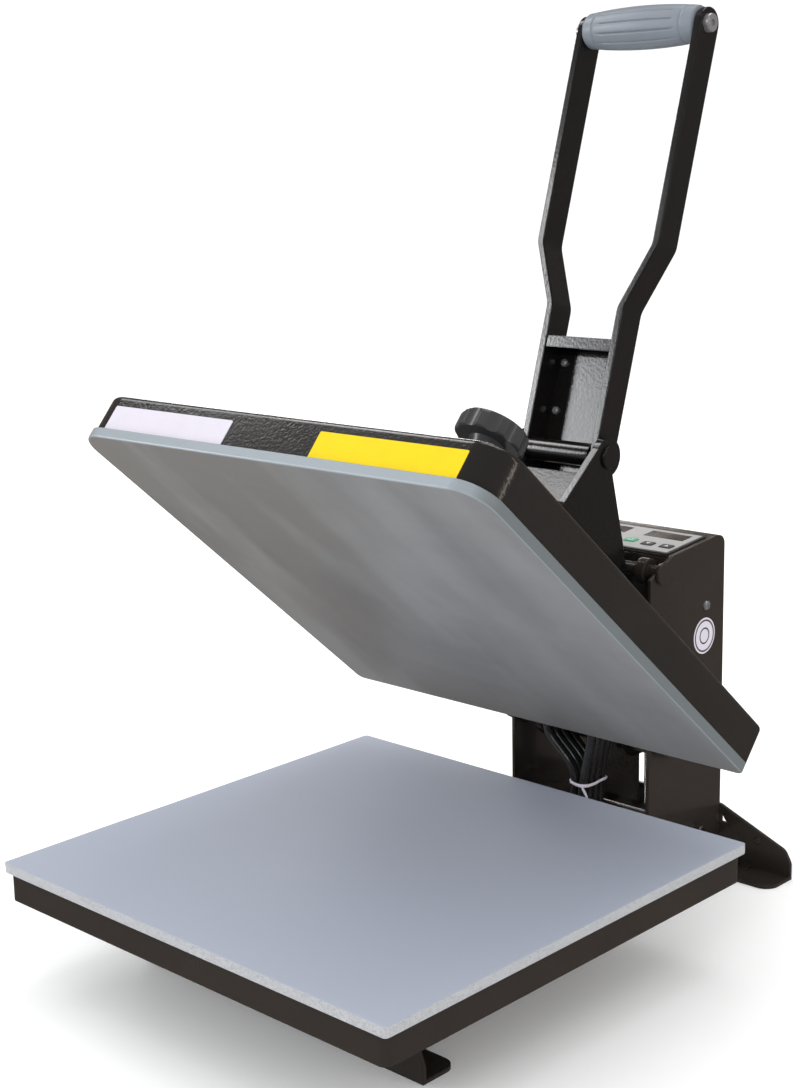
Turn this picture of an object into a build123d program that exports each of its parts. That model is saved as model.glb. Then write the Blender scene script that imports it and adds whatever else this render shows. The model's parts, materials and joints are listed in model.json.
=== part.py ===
from build123d import *
import math
import os

# Clamshell heat press, 380 x 380 mm platens, shown open at its stop.
# Millimetres.  +X is the user's right, +Y the rear, +Z up; the floor is Z = 0.
# Y is counted from the middle of the silicone pad while the pieces are built, and
# write() moves everything so that the origin is under the middle of the whole press.

# ---- driving dimensions -------------------------------------------------------------
PLATEN = 380.0            # side of the pad and of the heated plate
ORIGIN_Y = 77.0           # middle of the press in Y, from pad front edge to rear foot
SHEET = 3.0               # foot and column sheet
RUN = 0.05                # radial clearance of a turning or sliding fit
WELD = 0.1                # gap left between pieces that are welded or screwed together

PAD_TOP = 92.0
PAD_THICK = 8.0
TRAY_SIDE = 374.0
TRAY_BOTTOM = 63.0
RAIL = 25.0               # square tube
RAIL_X = 53.5
RAIL_Z = 36.5
FOOT_FRONT_Y = -102.0     # front face of the front foot
COLUMN_REAR = 341.0       # rear edge of the column and front face of the rear foot
COLUMN_FRONT = 240.0
COLUMN_X = 69.0           # outer face of each column wall
WALL_IN = COLUMN_X - SHEET
BOX_FLOOR = 176.0         # underside of the control box
BOX_SHEET = 1.5
LID_FRONT = (269.0, 272.0)
LID_REAR = (341.0, 278.5)

PIVOT = (257.0, 126.0)    # main hinge, (Y, Z)
OPEN_ANGLE = 41.0
HANDLE_PIVOT = (79.0, 273.5)      # closed position, carried by the arm
LINK_PIVOT = (254.0, 261.0)       # fixed shaft of the toggle links
CRANK = 113.5             # handle pivot to link pin
LEAN = 72.6               # handle bars above the horizontal when the press is open
TAIL = (50.0, -10.0)      # spring pin from the main hinge, open position
SPRING_ROD = (305.0, RAIL_Z)
ARM_IN = 38.0             # arm side plates, from here to ARM_OUT on each side
ARM_OUT = 44.0
BAR_IN = 30.5             # handle bars below their bend
BAR_OUT = 36.5
GRIP_IN = 51.5            # handle bars above their bend
GRIP_OUT = 57.5
BAR_FRONT = 6.5           # handle bar edges, measured square to the bar from its pivot
BAR_REAR = -18.5
GRIP_S = 334.0            # grip bolt along the bar and square to it
GRIP_N = -4.0

SHAFT_R = 8.0
LINK_SHAFT_R = 6.0
HANDLE_SHAFT_R = 6.5
PIN_R = 5.0

PLATE_BOTTOM = PAD_TOP + 0.3      # heated plate when the press is closed
PLATE_THICK = 8.0
PLATE_TOP = PLATE_BOTTOM + PLATE_THICK
FRONT_CORNER = 24.0       # corner radii of plate and cover
REAR_CORNER = 6.0
FLAT_FRONT = PLATEN / 2 - FRONT_CORNER    # half width of the cover's flat front face
COVER_FRONT = -187.0      # the cover stands back a little from the plate's front edge
COVER_REAR = 190.0
COVER_TOP = PLATE_TOP + 30.0
BLOCK_BOTTOM = 150.0
BLOCK_TOP = 174.0
SCREW_R = 6.0
KNOB_Z = 237.0            # middle of the knob's rim when closed

CORD_R = 3.5
GLAND = (10.0, 322.0)     # mains cord gland in the floor of the box, (X, Y)
LEAD_X = 0.0              # where the heater lead enters the cover
LEAD_Y = 168.0
LEAD_R = 3.2

parts = {}


# ---- helpers ------------------------------------------------------------------------
def block(x, y, z):
    """Box between the two values given for each axis."""
    size = [axis[1] - axis[0] for axis in (x, y, z)]
    middle = [(axis[1] + axis[0]) / 2 for axis in (x, y, z)]
    return Pos(*middle) * Box(*size)


def across(x0, x1, y, z, r):
    """Round bar along X."""
    return Pos((x0 + x1) / 2, y, z) * Rot(0, 90, 0) * Cylinder(r, x1 - x0)


def hex_across(x0, x1, y, z, flats):
    """Hexagonal bar along X."""
    nut = extrude(RegularPolygon(flats / math.sqrt(3), 6), x1 - x0)
    return Pos(x0, y, z) * Rot(0, 90, 0) * nut


def upright(x, y, z0, z1, r):
    """Round bar along Z."""
    return Pos(x, y, (z0 + z1) / 2) * Cylinder(r, z1 - z0)


def side_profile(sketch, x0, x1):
    """A sketch drawn as (Y, Z), extruded from x0 to x1."""
    return Pos(x0, 0, 0) * extrude(Plane.YZ * sketch, x1 - x0, dir=(1, 0, 0))


def front_profile(sketch, y0, y1):
    """A sketch drawn as (X, Z), extruded from y0 to y1."""
    return Pos(0, y1, 0) * extrude(Plane.XZ * sketch, y1 - y0, dir=(0, -1, 0))


def hull_of(*circles):
    """Outline round some circles, each (y, z, r)."""
    edges = []
    for y, z, r in circles:
        edges += (Pos(y, z) * Circle(r)).edges()
    return make_hull(edges)


def rounded_slab(side_x, side_y, z0, z1, corner):
    return Pos(0, 0, z0) * extrude(RectangleRounded(side_x, side_y, corner), z1 - z0)


def both_sides(shape):
    """The shape and its mirror image in the middle plane."""
    return Compound(children=[*shape.solids(), *mirror(shape, Plane.YZ).solids()])


def turned(point, centre, degrees):
    """A (Y, Z) point turned about a centre, positive from +Y towards +Z."""
    angle = math.radians(degrees)
    y, z = point[0] - centre[0], point[1] - centre[1]
    return (centre[0] + y * math.cos(angle) - z * math.sin(angle),
            centre[1] + y * math.sin(angle) + z * math.cos(angle))


def tube_along(points, radius, smooth=0.45):
    """Round tube on straight runs joined by arcs as large as the runs allow."""
    path_points = [Vector(*p) for p in points]
    radii = []
    for before, here, after in zip(path_points, path_points[1:], path_points[2:]):
        run_in, run_out = here - before, after - here
        half_turn = math.radians(run_in.get_angle(run_out) / 2)
        shorter = min(run_in.length, run_out.length)
        radii.append(smooth * shorter / math.tan(half_turn))
    path = FilletPolyline(*path_points, radius=radii)
    start = Plane(origin=path @ 0, z_dir=path % 0)
    tube = sweep(start * Circle(radius), path=path)
    print("tube radii", [round(r) for r in radii], "length", round(path.length, 1),
          "volume ratio", round(tube.volume / (math.pi * radius ** 2 * path.length), 3))
    return tube


SWING = Pos(0, *PIVOT) * Rot(-OPEN_ANGLE, 0, 0) * Pos(0, -PIVOT[0], -PIVOT[1])
HANDLE_OPEN = turned(HANDLE_PIVOT, PIVOT, -OPEN_ANGLE)
IN_HANDLE = Pos(0, *HANDLE_OPEN) * Rot(LEAN, 0, 0)     # local Y along the bars, Z to the front
TAIL_OPEN = (PIVOT[0] + TAIL[0], PIVOT[1] + TAIL[1])
TAIL_CLOSED = turned(TAIL_OPEN, PIVOT, OPEN_ANGLE)


def open_link_pin():
    """Where crank and link meet when the press is open, in front of the column."""
    closed_reach = math.dist(HANDLE_PIVOT, LINK_PIVOT)
    link = closed_reach - CRANK
    reach = math.dist(HANDLE_OPEN, LINK_PIVOT)
    corner = math.acos((CRANK ** 2 + reach ** 2 - link ** 2) / (2 * CRANK * reach))
    aim = math.atan2(LINK_PIVOT[1] - HANDLE_OPEN[1], LINK_PIVOT[0] - HANDLE_OPEN[0])
    return (HANDLE_OPEN[0] + CRANK * math.cos(aim - corner),
            HANDLE_OPEN[1] + CRANK * math.sin(aim - corner))


LINK_PIN = open_link_pin()


# ---- base ---------------------------------------------------------------------------
def foot(half_x, plate_y, flange_y, outline, corner):
    """L-shaped sheet foot: an upright plate and a flange on the floor, one solid."""
    plate = front_profile(outline, *plate_y)
    depth = flange_y[1] - flange_y[0]
    middle = (flange_y[0] + flange_y[1]) / 2
    flange = Pos(0, middle, 0) * extrude(Rectangle(2 * half_x, depth), SHEET)
    free_y = flange_y[1] if flange_y[1] > plate_y[1] else flange_y[0]
    corners = [e for e in flange.edges().filter_by(Axis.Z) if abs(e.center().Y - free_y) < 1]
    return plate + fillet(corners, corner)


def front_foot():
    half = 138.0
    outline = make_face(Polyline((-112, TRAY_BOTTOM), (112, TRAY_BOTTOM), (128, 36), (half, 13),
                                 (half, 0), (-half, 0), (-half, 13), (-128, 36), (-112, TRAY_BOTTOM)))
    outline = fillet(outline.vertices().filter_by(lambda v: 10 < v.Y < 50), 12)
    plate_y = (FOOT_FRONT_Y, FOOT_FRONT_Y + SHEET)
    return foot(half, plate_y, (FOOT_FRONT_Y, FOOT_FRONT_Y + 33), outline, 10)


def rear_foot():
    half, flat, top = 135.5, 69.0, 49.0
    outline = make_face(Polyline((-flat, top), (flat, top), (130, 24), (half, 14), (half, 0),
                                 (-half, 0), (-half, 14), (-130, 24), (-flat, top)))
    outline = fillet(outline.vertices().filter_by(lambda v: 10 < v.Y < 30), 9)
    plate_y = (COLUMN_REAR, COLUMN_REAR + SHEET)
    shape = foot(half, plate_y, (COLUMN_REAR - 30, COLUMN_REAR + SHEET), outline, 12)
    vent = Polygon((70, 34), (76, 34), (70, 42), align=None)
    shape -= both_sides(front_profile(vent, COLUMN_REAR - 1, COLUMN_REAR + SHEET + 1))
    rivet = Pos(105, COLUMN_REAR - 0.4, 26) * Rot(90, 0, 0) * Cylinder(3.2, 1.6)
    return shape + both_sides(fillet(rivet.faces().sort_by(Axis.Y)[0].edges(), 0.9))


def square_tube(length, width, height, wall):
    """Tube along Y, centred."""
    return Box(width, length, height) - Box(width - 2 * wall, length + 2, height - 2 * wall)


def base_rails():
    start, end = FOOT_FRONT_Y + SHEET + WELD, COLUMN_REAR - WELD
    rail = Pos(RAIL_X, (start + end) / 2, RAIL_Z) * square_tube(end - start, RAIL, RAIL, 2)
    rail -= across(RAIL_X - RAIL, RAIL_X + RAIL, *SPRING_ROD, PIN_R + WELD)
    return both_sides(rail)


def tray_crossmembers():
    low, high = RAIL_Z + RAIL / 2 + WELD, PAD_TOP - PAD_THICK - 2 - WELD
    height = high - low
    members = []
    for y in (-125, 120):
        members.append(Pos(0, y, low + height / 2) * Rot(0, 0, 90) * square_tube(300, 30, height, 2))
    return Compound(children=members)


def lower_tray():
    top = PAD_TOP - PAD_THICK
    shell = rounded_slab(TRAY_SIDE, TRAY_SIDE, TRAY_BOTTOM, top, 6)
    shell = fillet(shell.faces().sort_by(Axis.Z)[-1].edges(), 1.5)
    return shell - rounded_slab(TRAY_SIDE - 4, TRAY_SIDE - 4, TRAY_BOTTOM - 1, top - 2, 4)


def silicone_pad():
    pad = rounded_slab(PLATEN, PLATEN, PAD_TOP - PAD_THICK, PAD_TOP, 3)
    return chamfer(pad.faces().sort_by(Axis.Z)[-1].edges(), 0.6)


parts["front_foot"] = front_foot()
parts["rear_foot"] = rear_foot()
parts["base_rails"] = base_rails()
parts["tray_crossmembers"] = tray_crossmembers()
parts["lower_tray"] = lower_tray()
parts["silicone_pad"] = silicone_pad()


# ---- column and control box ---------------------------------------------------------
def lid_outline():
    """Outer side view of column and lid, with the rear top corner rounded."""
    base = RAIL_Z - RAIL / 2
    face = Polygon((COLUMN_FRONT, base), (COLUMN_FRONT, 258), LID_FRONT, LID_REAR,
                   (COLUMN_REAR, base), align=None)
    rear_top = face.vertices().sort_by(Axis.Y)[-1]
    return fillet(rear_top, 8)


def column_wall():
    wall = side_profile(lid_outline(), WALL_IN, COLUMN_X)
    for (y, z), r in ((PIVOT, SHAFT_R), (LINK_PIVOT, LINK_SHAFT_R), (SPRING_ROD, PIN_R)):
        wall -= across(WALL_IN - 1, COLUMN_X + 1, y, z, r)
    outer = wall.faces().sort_by(Axis.X)[-1].outer_wire().edges()
    return fillet(outer, 0.6)


LID_SLOPE = math.degrees(math.atan2(LID_REAR[1] - LID_FRONT[1], LID_REAR[0] - LID_FRONT[0]))
ON_LID = Pos(0, *LID_FRONT) * Rot(LID_SLOPE, 0, 0)     # local Y up the lid, Z square to it
MEMBRANE_THICK = 0.8
SWITCH = (30.0, 222.0)                                  # mains switch in the rear panel, (X, Z)
DISPLAYS = ((-21.0, 42.0), (35.0, 42.0))                # centres on the lid, (X, Y)
DISPLAY_SIZE = (38.0, 15.0)
KEYS = {"key_heat": (15.0, 20.0), "key_down": (33.5, 17.5), "key_up": (51.0, 17.5)}
KEY_SIZE = (11.0, 8.0)


def lid_openings(z0, z1, spare):
    """Display and key openings through the lid or the membrane."""
    cuts = [Pos(x, y, z0) * extrude(Rectangle(*DISPLAY_SIZE), z1 - z0) for x, y in DISPLAYS]
    for x, y in KEYS.values():
        key = RectangleRounded(KEY_SIZE[0] + 2 * spare, KEY_SIZE[1] + 2 * spare, 1.5 + spare)
        cuts.append(Pos(x, y, z0) * extrude(key, z1 - z0))
    return ON_LID * Compound(children=cuts)


def box_lid():
    """Bent sheet between the walls: sloping top, rounded corner and rear panel."""
    inner = offset(lid_outline(), -BOX_SHEET)
    lid = side_profile(lid_outline(), -WALL_IN, WALL_IN) - side_profile(inner, -WALL_IN, WALL_IN)
    lid &= block((-WALL_IN, WALL_IN), (LID_FRONT[0], COLUMN_REAR), (BOX_FLOOR, LID_REAR[1]))
    lid -= lid_openings(-3, 1, 0.4)
    return lid - Pos(SWITCH[0], COLUMN_REAR, SWITCH[1]) * Box(19.2, 10, 13.2)


def box_front_panel():
    top = LID_FRONT[1] - BOX_SHEET - 0.5
    panel = block((-WALL_IN, WALL_IN), (LID_FRONT[0], LID_FRONT[0] + BOX_SHEET),
                  (BOX_FLOOR + BOX_SHEET, top))
    grommet_hole = Pos(0, LID_FRONT[0], 192) * Rot(90, 0, 0) * Cylinder(4.5, 10)
    return panel - grommet_hole


def box_floor_panel():
    """Floor of the control box, with a tab that hangs down in front of the springs."""
    floor = block((-WALL_IN, WALL_IN), (LID_FRONT[0], COLUMN_REAR - BOX_SHEET),
                  (BOX_FLOOR, BOX_FLOOR + BOX_SHEET))
    tab = block((-22.5, 22.5), (291, 291 + BOX_SHEET), (55, BOX_FLOOR))
    return floor + tab - upright(*GLAND, BOX_FLOOR - 2, BOX_FLOOR + 5, 8)


def membrane_panel():
    panel = Pos(0, 29, 0) * extrude(RectangleRounded(126, 55, 3), MEMBRANE_THICK)
    return ON_LID * panel - lid_openings(-1, 3, 0.4)


def display_windows():
    window = RectangleRounded(DISPLAY_SIZE[0] - 0.4, DISPLAY_SIZE[1] - 0.4, 0.8)
    pieces = [ON_LID * Pos(x, y, -1.2) * extrude(window, 1.8) for x, y in DISPLAYS]
    return Compound(children=pieces)


def membrane_key(x, y):
    """Domed key that sits in its opening and stands just proud of the membrane."""
    key = extrude(RectangleRounded(*KEY_SIZE, 1.5), 2.6)
    key = fillet(key.faces().sort_by(Axis.Z)[-1].edges(), 0.5)
    return ON_LID * Pos(x, y, -1.2) * key


def controller_board():
    board = Pos(0, 32, -14.0) * extrude(Rectangle(118, 52), 1.6)
    for x, y in DISPLAYS:
        board += Pos(x, y, -12.4) * extrude(Rectangle(34, 13), 9)
    for x, y in KEYS.values():
        board += Pos(x, y, -12.4) * extrude(Rectangle(6, 6), 8)
    board += Pos(-45, 16, -12.4) * extrude(Rectangle(18, 10), 7)
    return ON_LID * board


def transformer():
    core = block((-50, -14), (286, 322), (BOX_FLOOR + BOX_SHEET, 208))
    coil = block((-44, -20), (280, 328), (183, 203))
    return fillet(core.edges().filter_by(Axis.Z), 2) + coil


def solid_state_relay():
    body = block((20, 62), (278, 308), (BOX_FLOOR + BOX_SHEET, 202))
    terminals = block((24, 58), (282, 290), (202, 208))
    return fillet(body.edges().filter_by(Axis.Z), 2) + terminals


def power_switch_body():
    x, z = SWITCH
    flange = block((x - 11.5, x + 11.5), (COLUMN_REAR, COLUMN_REAR + 1.4), (z - 8, z + 8))
    flange = fillet(flange.edges().filter_by(Axis.Y), 1.5)
    body = block((x - 9.4, x + 9.4), (COLUMN_REAR - 17, COLUMN_REAR), (z - 6.4, z + 6.4))
    well = block((x - 8.2, x + 8.2), (COLUMN_REAR - 9, COLUMN_REAR + 2), (z - 5.2, z + 5.2))
    return flange + body - well


def power_rocker():
    """Rocker on a cross pin through the middle of the switch, pressed in at its left end."""
    x, z = SWITCH
    pivot_y = COLUMN_REAR - 3.5
    outline = hull_of((x - 5.2, pivot_y - 1.2, 2.2), (x + 5.2, pivot_y + 1.6, 2.2),
                      (x, pivot_y - 2, 2.4))
    return Pos(0, 0, z - 4.9) * extrude(outline, 9.8, dir=(0, 0, 1))


parts["column_wall_right"] = column_wall()
parts["column_wall_left"] = mirror(column_wall(), Plane.YZ)
parts["box_lid"] = box_lid()
parts["box_front_panel"] = box_front_panel()
parts["box_floor_panel"] = box_floor_panel()
parts["membrane_panel"] = membrane_panel()
parts["display_windows"] = display_windows()
for name, place in KEYS.items():
    parts[name] = membrane_key(*place)
parts["controller_board"] = controller_board()
parts["transformer"] = transformer()
parts["solid_state_relay"] = solid_state_relay()
parts["power_switch_body"] = power_switch_body()
parts["power_rocker"] = power_rocker()


def wall_screws():
    """Pan-head screws that hold the lid between the walls."""
    screws = []
    for y, z in ((315, 224), (285, 188)):
        head = across(COLUMN_X, COLUMN_X + 2.6, y, z, 3.8)
        head = fillet(head.faces().sort_by(Axis.X)[-1].edges(), 1.6)
        head -= block((COLUMN_X + 1.4, COLUMN_X + 3), (y - 2.4, y + 2.4), (z - 0.5, z + 0.5))
        head -= block((COLUMN_X + 1.4, COLUMN_X + 3), (y - 0.5, y + 0.5), (z - 2.4, z + 2.4))
        screws.append(head)
    return both_sides(Compound(children=screws))


parts["wall_screws"] = wall_screws()


# ---- shafts, links and springs ------------------------------------------------------
def main_shaft():
    return chamfer(across(-80, 80, *PIVOT, SHAFT_R).edges(), 1)


def shaft_hardware():
    """A washered nut outside each wall and a spacer between wall and arm."""
    nut = hex_across(COLUMN_X + 1.5, COLUMN_X + 9.5, *PIVOT, 24)
    washer = across(COLUMN_X, COLUMN_X + 1.5, *PIVOT, 14)
    spacer = across(ARM_OUT + 0.5, WALL_IN, *PIVOT, 13)
    shaft = across(ARM_OUT, COLUMN_X + 12, *PIVOT, SHAFT_R)
    return both_sides(Compound(children=[nut + washer - shaft, spacer - shaft]))


def link_shaft():
    """Fixed toggle shaft with a collar each side and a rounded head outside each wall."""
    shaft = across(-COLUMN_X, COLUMN_X, *LINK_PIVOT, LINK_SHAFT_R)
    collar = chamfer(across(50, 59, *LINK_PIVOT, 10.5).edges(), 0.8)
    head = across(COLUMN_X, COLUMN_X + 3, *LINK_PIVOT, 8.5)
    head = fillet(head.faces().sort_by(Axis.X)[-1].edges(), 1.5)
    for piece in (collar, head):
        shaft = shaft + piece + mirror(piece, Plane.YZ)
    return shaft


def toggle_links():
    outline = hull_of((*LINK_PIVOT, 11), (*LINK_PIN, 11))
    link = side_profile(outline, 22, 28)
    link -= across(20, 30, *LINK_PIVOT, LINK_SHAFT_R + RUN)
    link -= across(20, 30, *LINK_PIN, PIN_R)
    return both_sides(link)


def spring_rod():
    rod = across(-76, 76, *SPRING_ROD, PIN_R)
    for x in (-28, 28):
        rod -= across(x - 2.5, x + 2.5, *SPRING_ROD, 6) - across(x - 3, x + 3, *SPRING_ROD, 4)
    return chamfer(rod.faces().sort_by(Axis.X)[0].edges() + rod.faces().sort_by(Axis.X)[-1].edges(), 1)


def lift_springs():
    """Closed stand-in for each extension spring, between its two hooks."""
    low, high = Vector(0, *SPRING_ROD), Vector(0, *TAIL_OPEN)
    along = (high - low).normalized()
    springs = []
    for x in (-28, 28):
        side = Vector(x, 0, 0)
        base = Plane(origin=low + along * 10 + side, z_dir=along)
        springs.append(extrude(base * Circle(8), (high - low).length - 20))
    return Compound(children=springs)


parts["main_shaft"] = main_shaft()
parts["shaft_hardware"] = shaft_hardware()
parts["link_shaft"] = link_shaft()
parts["toggle_links"] = toggle_links()
parts["link_pin"] = chamfer(across(-29.5, 29.5, *LINK_PIN, PIN_R).edges(), 0.6)
parts["spring_rod"] = spring_rod()
parts["lift_springs"] = lift_springs()


# ---- arm, built closed and swung open -----------------------------------------------
def arm_plate():
    """Side plate: hinge eye, tail for the spring, peak for the handle shaft, front foot."""
    hinge = (*PIVOT, 18)
    tail = hull_of(hinge, (*TAIL_CLOSED, 9))
    peak = Pos(*HANDLE_PIVOT) * Circle(15)
    beam = hull_of(hinge, (200, 158, 18), (133, 223, 12), (84, 260, 10))
    front = Polygon((64.2, 272), (55.5, 219), (44, 194), (24, 177), (-8, BLOCK_TOP),
                    (-19, BLOCK_TOP - 5), (-19, BLOCK_BOTTOM), (30, BLOCK_BOTTOM), (42, 140),
                    (200, 140), (200, 170), align=None)
    front = fillet(front.vertices().filter_by(lambda v: v.X < 50), 5)
    plate = side_profile(beam + peak + front + tail, ARM_IN, ARM_OUT)
    plate -= across(ARM_IN - 1, ARM_OUT + 1, *PIVOT, SHAFT_R + RUN)
    plate -= across(ARM_IN - 1, ARM_OUT + 1, *HANDLE_PIVOT, HANDLE_SHAFT_R)
    plate -= across(ARM_IN - 1, ARM_OUT + 1, *TAIL_CLOSED, PIN_R)
    return plate


def arm_hub():
    """Tube welded between the side plates, running on the main shaft."""
    return across(-ARM_IN, ARM_IN, *PIVOT, 13) - across(-ARM_IN - 1, ARM_IN + 1, *PIVOT, SHAFT_R + RUN)


def arm_web():
    """Sheet between the side plates along their front edge."""
    web = Polygon((66, 250), (56, 208), (36, 184), (40, 181), (61, 206), (71, 249), align=None)
    return side_profile(web, -ARM_IN, ARM_IN)


def screw_block():
    """Cross block that carries the pressure screw and guides the platen's two pins."""
    body = block((-ARM_IN, ARM_IN), (-17, 17), (BLOCK_BOTTOM, BLOCK_TOP))
    body -= upright(0, 0, BLOCK_BOTTOM - 1, BLOCK_TOP + 1, SCREW_R + RUN)
    for x in (-26, 26):
        body -= upright(x, 0, BLOCK_BOTTOM - 1, BLOCK_TOP + 1, PIN_R + RUN)
    return body


def handle_shaft():
    """Shaft the handle turns on, with a sleeve between the bars and a head outside each plate."""
    shaft = across(-ARM_OUT, ARM_OUT, *HANDLE_PIVOT, HANDLE_SHAFT_R)
    shaft += across(0.5 - BAR_IN, BAR_IN - 0.5, *HANDLE_PIVOT, 9)
    head = across(ARM_OUT, ARM_OUT + 2.4, *HANDLE_PIVOT, 9)
    head = fillet(head.faces().sort_by(Axis.X)[-1].edges(), 1.4)
    return shaft + head + mirror(head, Plane.YZ)


def spring_pin():
    pin = across(-ARM_OUT, ARM_OUT, *TAIL_CLOSED, PIN_R)
    for x in (-28, 28):
        pin -= across(x - 2.5, x + 2.5, *TAIL_CLOSED, 6) - across(x - 3, x + 3, *TAIL_CLOSED, 4)
    return pin


arm = {
    "arm_plate_right": arm_plate(),
    "arm_plate_left": mirror(arm_plate(), Plane.YZ),
    "arm_hub": arm_hub(),
    "arm_web": arm_web(),
    "screw_block": screw_block(),
    "handle_shaft": handle_shaft(),
    "spring_pin": spring_pin(),
}


# ---- heated platen ------------------------------------------------------------------
def platen_slab(front, rear, z0, z1, inset):
    """Slab as wide as the platen, well rounded at the front corners and barely at the rear."""
    half = PLATEN / 2 - inset
    slab = block((-half, half), (front + inset, rear - inset), (z0, z1))
    upright_edges = slab.edges().filter_by(Axis.Z).sort_by(Axis.Y)
    slab = fillet(upright_edges[:2], FRONT_CORNER - inset)
    return fillet(slab.edges().filter_by(Axis.Z).sort_by(Axis.Y)[-2:], REAR_CORNER - inset)


def heater_plate():
    plate = platen_slab(-PLATEN / 2, PLATEN / 2, PLATE_BOTTOM, PLATE_TOP, 0)
    return fillet(plate.faces().sort_by(Axis.Z)[0].edges(), 1.6)


def platen_cover():
    """Pressed sheet cover with rounded corners and a rounded top edge."""
    outer = platen_slab(COVER_FRONT, COVER_REAR, PLATE_TOP, COVER_TOP, 0)
    outer = fillet(outer.faces().sort_by(Axis.Z)[-1].edges(), 4)
    inner = platen_slab(COVER_FRONT, COVER_REAR, PLATE_TOP - 1, COVER_TOP - BOX_SHEET, BOX_SHEET)
    inner = fillet(inner.faces().sort_by(Axis.Z)[-1].edges(), 2.5)
    return outer - inner - upright(LEAD_X, LEAD_Y, PLATE_TOP + 5, COVER_TOP + 5, 7)


def heating_element():
    """Tubular element folded back and forth over the plate, ends turned up."""
    reach, pitch, rows = 150.0, 50.0, 6
    z = PLATE_TOP + 5
    points = []
    for row in range(rows):
        y = (row - (rows - 1) / 2) * pitch
        ends = (-reach, reach) if row % 2 == 0 else (reach, -reach)
        points += [(ends[0], y, z), (ends[1], y, z)]
    path = FilletPolyline(*points, radius=pitch / 2 - 1)
    start = Plane(origin=path @ 0, z_dir=path % 0)
    return sweep(start * Circle(4), path=path)


def centre_mount():
    """Plate on the cover with the thrust boss for the screw."""
    mount = Pos(0, 0, COVER_TOP) * extrude(RectangleRounded(72, 34, 6), 3)
    mount += upright(0, 0, COVER_TOP, COVER_TOP + 9, 13)
    return mount - upright(0, 0, COVER_TOP + 1.5, COVER_TOP + 12, SCREW_R + RUN)


def guide_pins():
    pin = chamfer(upright(26, 0, COVER_TOP + 3, BLOCK_TOP + 12, PIN_R).edges(), 0.8)
    return both_sides(pin)


def label(x0, x1, z0, z1):
    """Flat sticker on the cover's front face."""
    y = COVER_FRONT
    sticker = block((x0, x1), (y - 0.3, y), (PLATE_TOP + z0, PLATE_TOP + z1))
    return fillet(sticker.edges().filter_by(Axis.Y), 1.2)


def lead_gland():
    """Rubber gland in the cover that the heater lead enters."""
    gland = upright(LEAD_X, LEAD_Y, COVER_TOP - 6, COVER_TOP, 7)
    gland += upright(LEAD_X, LEAD_Y, COVER_TOP, COVER_TOP + 3, 10)
    gland += Pos(LEAD_X, LEAD_Y, COVER_TOP + 3 + 6) * Cone(8, 6, 12)
    return gland - upright(LEAD_X, LEAD_Y, COVER_TOP - 7, COVER_TOP + 16, LEAD_R + 0.4)


platen = {
    "heater_plate": heater_plate(),
    "heating_element": heating_element(),
    "insulation_pad": rounded_slab(350, 350, PLATE_TOP + 9.5, PLATE_TOP + 21, 16),
    "platen_cover": platen_cover(),
    "centre_mount": centre_mount(),
    "guide_pins": guide_pins(),
    "white_label": label(-FLAT_FRONT, -42, 0.6, 20.5),
    "yellow_label": label(41, FLAT_FRONT, 0.6, 21.0),
    "lead_gland": lead_gland(),
}


# ---- pressure screw and knob --------------------------------------------------------
def pressure_screw():
    screw = upright(0, 0, COVER_TOP + 2, KNOB_Z - 6, SCREW_R)
    return chamfer(screw.edges(), 0.8)


def lock_nut():
    nut = Pos(0, 0, BLOCK_TOP + 0.4) * extrude(RegularPolygon(19 / math.sqrt(3), 6), 8)
    return nut - upright(0, 0, BLOCK_TOP, BLOCK_TOP + 12, SCREW_R)


def pressure_knob():
    """Handwheel with ten shallow flutes, a rounded rim, a domed top and a flared neck."""
    rim, low, high, flutes = 27.5, KNOB_Z - 8, KNOB_Z + 8, 10
    wheel = upright(0, 0, low, high, rim)
    wheel = fillet(wheel.faces().sort_by(Axis.Z)[-1].edges(), 4)
    wheel = fillet(wheel.faces().sort_by(Axis.Z)[0].edges(), 2.5)
    for i in range(flutes):
        angle = 2 * math.pi * (i + 0.5) / flutes
        wheel -= upright(36.5 * math.cos(angle), 36.5 * math.sin(angle), low - 1, high + 1, 11)
    neck = upright(0, 0, low - 20, low - 8, 11) + Pos(0, 0, low - 4) * Cone(11, 15, 8)
    return wheel + neck - upright(0, 0, low - 21, KNOB_Z - 6, SCREW_R)


knob = {"pressure_screw": pressure_screw(), "lock_nut": lock_nut(), "pressure_knob": pressure_knob()}

for group in (arm, platen, knob):
    for name, shape in group.items():
        parts[name] = SWING * shape


# ---- handle -------------------------------------------------------------------------
def handle_bar():
    """Flat bar bent outwards twice, drawn from the front and cut to its side view."""
    low, bend_1, bend_2, high = -130.0, 114.0, 163.0, 350.0
    front = Polygon((BAR_IN, low), (BAR_IN, bend_1), (GRIP_IN, bend_2), (GRIP_IN, high),
                    (GRIP_OUT, high), (GRIP_OUT, bend_2), (BAR_OUT, bend_1), (BAR_OUT, low), align=None)
    front = fillet(front.vertices().filter_by(lambda v: 100 < v.Y < 200), 16)
    bar = Pos(0, 0, BAR_REAR) * extrude(front, BAR_FRONT - BAR_REAR, dir=(0, 0, 1))
    middle = (BAR_FRONT + BAR_REAR) / 2
    half = (BAR_FRONT - BAR_REAR) / 2
    side = hull_of((-CRANK, middle, half), (GRIP_S, middle, half))
    bar = bar & side_profile(side, 0, 100)
    bar -= across(0, 100, 0, 0, HANDLE_SHAFT_R + RUN)
    bar -= across(0, 100, GRIP_S, GRIP_N, 4)
    return IN_HANDLE * fillet(bar.edges().filter_by(lambda e: e.length > 100), 0.9)


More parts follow.
